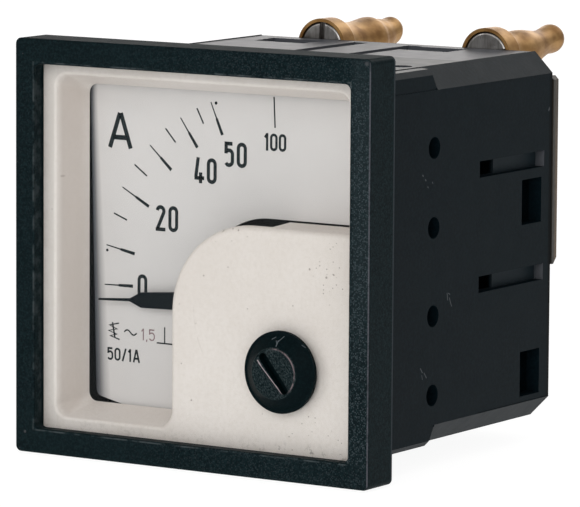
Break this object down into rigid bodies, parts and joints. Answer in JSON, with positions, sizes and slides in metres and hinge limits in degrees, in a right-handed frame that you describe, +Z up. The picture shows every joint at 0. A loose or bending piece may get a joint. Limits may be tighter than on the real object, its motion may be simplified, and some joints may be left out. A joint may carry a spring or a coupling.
{
  "type": "analog panel meter",
  "caption": "Square-bezel analog panel meter: black housing, pale dial with a 90 degree scale beside a cream hood, pointer movement, front zero adjuster and brass terminal posts at the rear.",
  "frame": {"origin": "centre of the bezel's back face, the plane that seats on the panel", "axes": "+Y from the dial towards the terminals, along the housing; +X to the right of the dial; +Z up"},
  "size_m": [0.048, 0.0624, 0.048],
  "materials": {
    "bezel_plastic": "fine-grained moulded, slightly worn",
    "pane_plastic": "clear and polished",
    "mask_plastic": "fine-grained moulded cream, a few specks",
    "adjuster_plastic": "satin moulded, scratched top",
    "scale_enamel": "matt light grey enamel with black print",
    "housing_plastic": "moulded black, scuffed",
    "steel": "nickel plated",
    "soft_iron": "plain annealed sheet",
    "shield_steel": "rolled sheet",
    "brass": "turned and stamped",
    "spring_bronze": "drawn strip",
    "pointer_black": "matt black paint",
    "plate_aluminium": "stamped sheet",
    "carrier_plastic": "moulded black",
    "magnet": "ground block",
    "bobbin_plastic": "moulded black",
    "enamelled_copper": "enamelled wire, wound",
    "hard_paper": "laminated hard paper",
    "lead_sleeve": "sleeved wire"
  },
  "bodies": {
    "meter_body": {"front_bezel": "bezel_plastic", "front_pane": "pane_plastic", "mask_frame": "mask_plastic", "scale_plate": "scale_enamel", "scale_screws": "steel", "movement_plate": "carrier_plastic", "movement_screws": "steel", "pointer_stops": "brass", "front_bridge": "brass", "bridge_screws": "steel", "front_bearing_screw": "brass", "rear_bridge": "brass", "rear_bearing_screw": "brass", "hairspring": "spring_bronze", "damping_magnet": "magnet", "fixed_iron": "soft_iron", "coil_bobbin": "bobbin_plastic", "coil_winding": "enamelled_copper", "shield_ring": "shield_steel", "housing": "housing_plastic", "terminal_board": "hard_paper", "board_screws": "steel", "left_terminal_strap": "brass", "right_terminal_strap": "brass", "left_terminal_post": "brass", "right_terminal_post": "brass", "terminal_washers": "steel", "terminal_screws": "steel", "left_coil_lead": "lead_sleeve", "right_coil_lead": "lead_sleeve"},
    "pointer_movement": {"spindle": "steel", "pointer": "pointer_black", "balance_weights": "brass", "hairspring_collet": "brass", "damping_disc": "plate_aluminium", "moving_iron": "soft_iron"},
    "zero_adjuster": {"zero_screw": "adjuster_plastic"},
    "zero_arm": {"zero_lever": "brass"}
  },
  "joints": [
    {"name": "pointer_swing", "type": "hinge", "parent": "meter_body", "child": "pointer_movement", "pos_m": [0.0067, 0, -0.0051], "axis": [0, 1, 0], "range_deg": [-1.5, 94.5], "stiffness_Nm_per_rad": 0.0001},
    {"name": "zero_adjust", "type": "hinge", "parent": "meter_body", "child": "zero_adjuster", "pos_m": [0.01168, 0, -0.01185], "axis": [0, 1, 0], "range_deg": [-45, 45]},
    {"name": "zero_arm_swing", "type": "hinge", "parent": "meter_body", "child": "zero_arm", "pos_m": [0.0067, 0, -0.0051], "axis": [0, 1, 0], "range_deg": [-6, 6]}
  ],
  "couplings": [
    {"joint": "zero_arm_swing", "follows": "zero_adjust", "ratio": -0.122}
  ]
}
